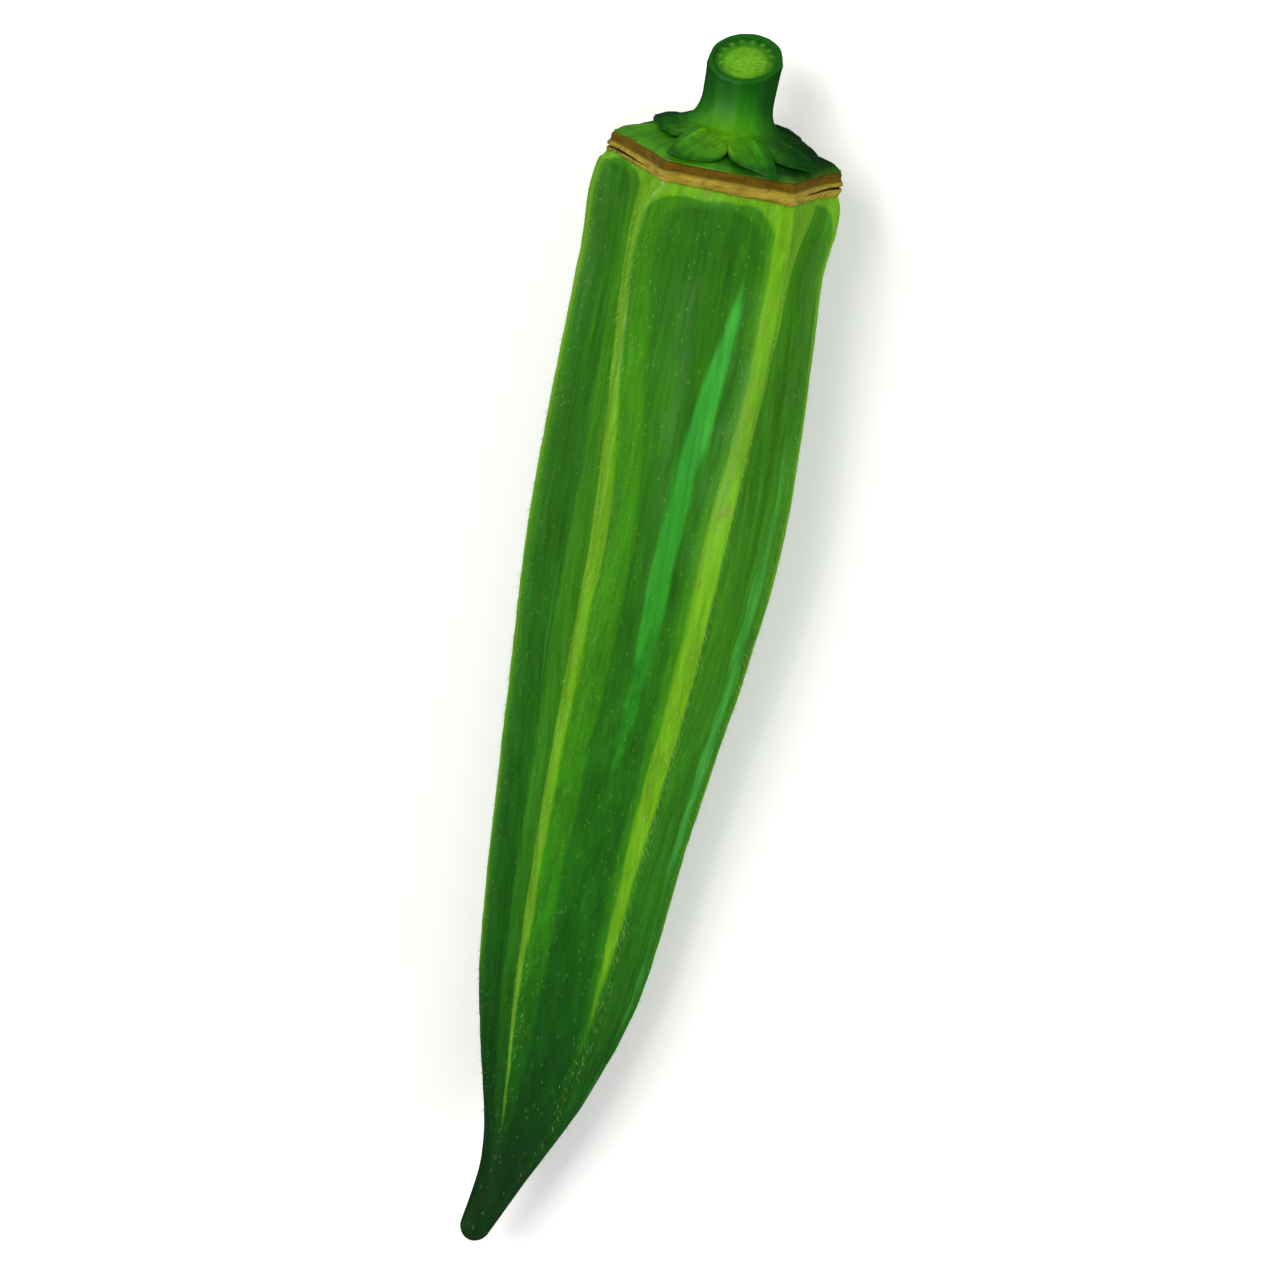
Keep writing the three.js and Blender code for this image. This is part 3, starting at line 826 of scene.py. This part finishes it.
for share in (0.8, 0.6, 0.4):
    radius = share * sepal_edges
    add_stem_ring(radius, sepal_foot(radius, sepal_angles))
stem_rings = np.array(stem_rings)
stem_rings[..., 1] += wrinkle_depth * roughen(stem_rings, (1.1, 0.7, 1.1), 31.0)
stem = closed_skin("stem_and_sepals", stem_rings, 0.08 - cut_at(0.0, 0.0), 0.2 - crown_apex)
for name, values in stem_values.items():
    stem_values[name] = np.array(values)
    write_values(stem, name, stem_values[name])
reaches = stem_values["reach"]
write_values(stem, "across_vein", np.abs(reaches * from_vein))
write_values(stem, "from_edge", np.maximum(sepal_edges - reaches, 0))

# Stalk and sepals are painted brightest where they meet on the upper side, a painted highlight, and painted
# darker further from there and up the stalk, as painted shade. The pith of the cut is a little off its
# middle.
painted_highlight_spot = place(-(flare_top - 3.1), 5.6, -14)
pith_shift = 0.55
pith_squash = 0.92
on_stalk = smooth_step(stem_values["above"], flare_top - 2.6, flare_top + 0.2)
write_values(stem, "from_painted_highlight", np.linalg.norm(stem_rings - painted_highlight_spot, axis=-1) + 1.6 * on_stalk)
turn = np.radians(sepal_angles)
across, upwards = reaches * np.sin(turn), reaches * np.cos(turn)
write_values(stem, "from_pith", np.hypot(across, (upwards - pith_shift) * pith_squash))

stem_skin = Finish("stem_skin_green", shine=0.14, roughness=0.55)
fibre = stem_skin.noise((1400, 160, 1400), detail=5)
spots = stem_skin.noise((500, 500, 500), detail=4)
# The stem's green is a painted highlight at the foot of the upper sepals that darkens into painted shade away
# from it.
from_painted_highlight = stem_skin.math("DIVIDE", stem_skin.value("from_painted_highlight"), 10.0)
colour = stem_skin.ramp(
    from_painted_highlight,
    [(0, "5a9c00"), (0.18, "4a9000"), (0.36, "338000"), (0.52, "1d6800"), (0.72, "094c00"), (1, "023a00")],
)
vein_share = stem_skin.between(stem_skin.value("across_vein"), 0.06, 0.4, 0.85, 0)
vein_starts = stem_skin.between(stem_skin.value("reach"), 4.2, 6.4)
vein_share = stem_skin.math("MULTIPLY", vein_share, vein_starts)
vein_ends = stem_skin.between(stem_skin.value("from_edge"), 0.1, 1.2)
vein_share = stem_skin.math("MULTIPLY", vein_share, vein_ends)
colour = stem_skin.mix(vein_share, colour, "e6f2c0", "OVERLAY")
margin = stem_skin.between(stem_skin.value("from_edge"), 0.08, 0.3, 0.6, 0)
margin = stem_skin.math("MULTIPLY", margin, stem_skin.between(stem_skin.value("reach"), 4.4, 5.2))
colour = stem_skin.mix(margin, colour, "0d4d00")
grain_across = stem_skin.math("MULTIPLY", stem_skin.value("across_vein"), 3.5)
grain_along = stem_skin.math("MULTIPLY", stem_skin.value("reach"), 0.5)
grain_place = stem_skin.node("ShaderNodeCombineXYZ", {"X": grain_across, "Y": grain_along}).outputs[0]
sepal_grain = stem_skin.node("ShaderNodeTexNoise", {"Vector": grain_place, "Scale": 1.0, "Detail": 4.0})
on_sepal = stem_skin.between(stem_skin.value("reach"), 4.2, 5.2, 0, 0.5)
colour = stem_skin.mottle(on_sepal, colour, sepal_grain.outputs["Fac"], "4c4c4c", "b8b8b8")
colour = stem_skin.mottle(0.35, colour, fibre, "505050", "c0c0c0")
colour = stem_skin.mottle(0.3, colour, spots, "585858", "b4b4b4")
pith = stem_skin.noise((2600, 2600, 2600), detail=3)
pith_colour = stem_skin.ramp(
    stem_skin.math("DIVIDE", stem_skin.value("from_pith"), cut_inner),
    [(0, "629e10"), (0.4, "589606"), (0.62, "529000"), (0.72, "327400"), (0.9, "195c00"), (1, "0e4e00")],
)
on_bundle = stem_skin.math("MULTIPLY", stem_skin.value("bundle"), 0.45)
pith_colour = stem_skin.mix(on_bundle, pith_colour, "5c9a14")
pith_colour = stem_skin.mottle(0.45, pith_colour, pith, "4c4c4c", "c4c4c4")
cut = stem_skin.value("cut")
colour = stem_skin.mix(stem_skin.between(cut, 0.1, 0.5), colour, "0a4b00")
colour = stem_skin.mix(stem_skin.between(cut, 0.6, 0.95), colour, pith_colour)
stem_skin.feed(stem_skin.shader.inputs["Base Color"], colour)
stem_skin.bump(fibre, strength=0.6, depth=0.00008)
stem_skin.bump(spots, strength=0.3, depth=0.00005)
stem.data.materials.append(stem_skin.material)
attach(stem, "root")
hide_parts("stem_with_sepals")

# The fuzz is the down of short pale hairs that grows from the skin, thickest on the keels and thin on
# the faces. Each hair is a tapering three-sided bristle rooted in the skin.
hair_count = 11000
hair_root_width = 0.015
hair_root_depth = 0.05
hairs_on_keels = 0.92
keel_scatter = 4.5  # degrees
hair_clearance = 1.2  # no hair grows lower than this above the table
fuzz_random = np.random.default_rng(41)
hair_below = fuzz_random.uniform(1.5, 99, hair_count)
on_keel = fuzz_random.random(hair_count) < hairs_on_keels
hair_ridge = fuzz_random.integers(0, ridge_count, hair_count)
off_keel = fuzz_random.normal(0, keel_scatter, hair_count)
over_face = fuzz_random.uniform(0, face_turn, hair_count)
hair_angle = half_face + face_turn * hair_ridge + np.where(on_keel, off_keel, over_face)
hair_length = fuzz_random.uniform(0.18, 0.5, hair_count) * np.where(on_keel, 1.0, 0.7)
hair_lean = fuzz_random.uniform(0.5, 1.4, hair_count)
hair_turn = fuzz_random.uniform(-0.35, 0.35, hair_count)
root_radius = pod_radius(hair_below, hair_angle)
root = place_ridged(hair_below, root_radius - hair_root_depth, hair_angle)
tip = place_ridged(
    hair_below + hair_length * hair_lean,
    root_radius + 0.8 * hair_length,
    hair_angle + np.degrees(hair_turn * hair_length / root_radius),
)
kept_share = (root_radius / 11) ** 2.2  # thins the hairs out as the pod narrows
kept = (root[:, 2] > hair_clearance) & (fuzz_random.random(hair_count) < kept_share)
root, tip = root[kept], tip[kept]
direction = (tip - root) / np.linalg.norm(tip - root, axis=1, keepdims=True)
sideways = np.cross(direction, np.array([0.31, 0.87, 0.38]))
sideways /= np.linalg.norm(sideways, axis=1, keepdims=True)
other_way = np.cross(direction, sideways)
corners = []
for turn in 2 * np.pi * np.arange(3) / 3:
    corners.append(root + hair_root_width * (np.cos(turn) * sideways + np.sin(turn) * other_way))
hair_points = np.stack([*corners, tip], 1).reshape(-1, 3) * MM
first = 4 * np.arange(len(root))[:, None]
hair_faces = np.concatenate([first + face for face in ((0, 1, 3), (1, 2, 3), (2, 0, 3), (2, 1, 0))])
fuzz_mesh = bpy.data.meshes.new("fuzz")
fuzz_mesh.from_pydata(hair_points.tolist(), [], hair_faces.tolist())
fuzz = bpy.data.objects.new("fuzz", fuzz_mesh)
bpy.context.scene.collection.objects.link(fuzz)
down = Finish("fuzz_down", roughness=0.6)
down_tone = down.noise((300, 300, 300), detail=2)
down.feed(down.shader.inputs["Base Color"], down.ramp(down_tone, [(0.3, "5f9430"), (0.7, "93bb60")]))
fuzz.data.materials.append(down.material)
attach(fuzz, "root")
